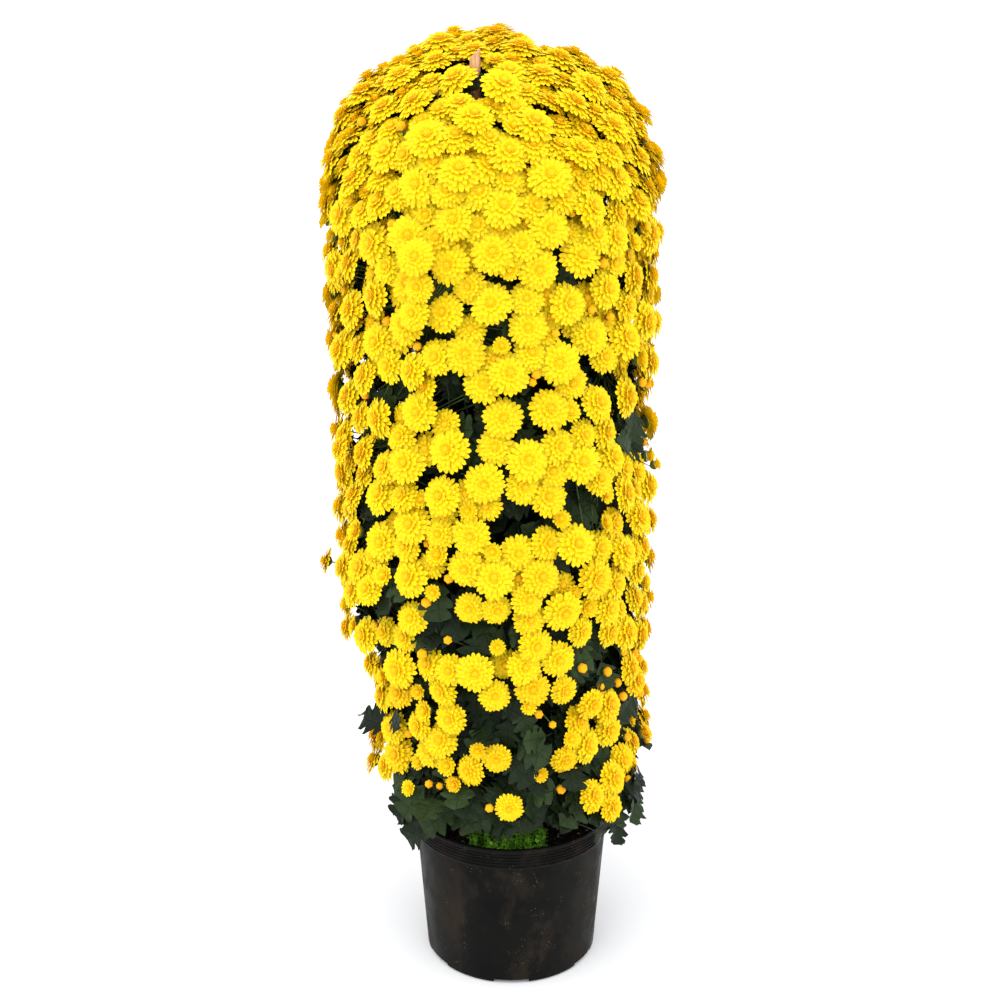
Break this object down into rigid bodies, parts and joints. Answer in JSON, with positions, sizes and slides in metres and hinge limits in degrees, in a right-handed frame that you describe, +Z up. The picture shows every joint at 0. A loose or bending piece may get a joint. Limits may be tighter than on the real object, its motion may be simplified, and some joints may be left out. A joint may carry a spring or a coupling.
{
  "type": "pot chrysanthemum",
  "caption": "Tall column of small double yellow chrysanthemum blooms over dark lobed leaves, staked with a cane, growing in a round black plastic nursery pot",
  "frame": {"origin": "middle of the pot's flat underside", "axes": "+Z up along the plant, -Y to the front as pictured, +X to the viewer's right"},
  "size_m": [0.4511, 0.4443, 1.2938],
  "materials": {
    "pot_plastic": "black injection-moulded polypropylene, satin, scuffed and dusty",
    "potting_soil": null,
    "cane_wood": "bare split cane, cut at a slant on top",
    "woody_stem": "green-brown woody plant stem",
    "leaf_green": null,
    "petal_yellow": null,
    "weed_green": null
  },
  "bodies": {
    "root": {"pot": "pot_plastic", "soil": "potting_soil", "cane": "cane_wood", "main_stem": "woody_stem", "weeds": "weed_green", "shoot_01": "leaf_green", "shoot_02": "leaf_green", "shoot_03": "leaf_green", "shoot_04": "leaf_green", "shoot_05": "leaf_green", "shoot_06": "leaf_green", "shoot_07": "leaf_green", "shoot_08": "leaf_green", "shoot_09": "leaf_green", "shoot_10": "leaf_green", "shoot_11": "leaf_green", "shoot_12": "leaf_green", "shoot_13": "leaf_green", "shoot_14": "leaf_green", "shoot_15": "leaf_green", "shoot_16": "leaf_green", "shoot_17": "leaf_green", "shoot_18": "leaf_green", "shoot_19": "leaf_green", "shoot_20": "leaf_green", "shoot_21": "leaf_green", "shoot_22": "leaf_green", "shoot_23": "leaf_green", "shoot_24": "leaf_green", "shoot_25": "leaf_green", "shoot_26": "leaf_green", "shoot_27": "leaf_green", "spray_01": "petal_yellow", "spray_02": "petal_yellow", "spray_03": "petal_yellow", "spray_04": "petal_yellow", "spray_05": "petal_yellow", "spray_06": "petal_yellow", "spray_07": "petal_yellow", "spray_08": "petal_yellow", "spray_09": "petal_yellow", "spray_10": "petal_yellow", "spray_11": "petal_yellow", "spray_12": "petal_yellow", "spray_13": "petal_yellow", "spray_14": "petal_yellow", "spray_15": "petal_yellow", "spray_16": "petal_yellow", "spray_17": "petal_yellow", "spray_18": "petal_yellow", "spray_19": "petal_yellow", "spray_20": "petal_yellow", "spray_21": "petal_yellow", "spray_22": "petal_yellow", "spray_23": "petal_yellow", "spray_24": "petal_yellow", "spray_25": "petal_yellow", "spray_26": "petal_yellow", "spray_27": "petal_yellow"}
  },
  "joints": []
}
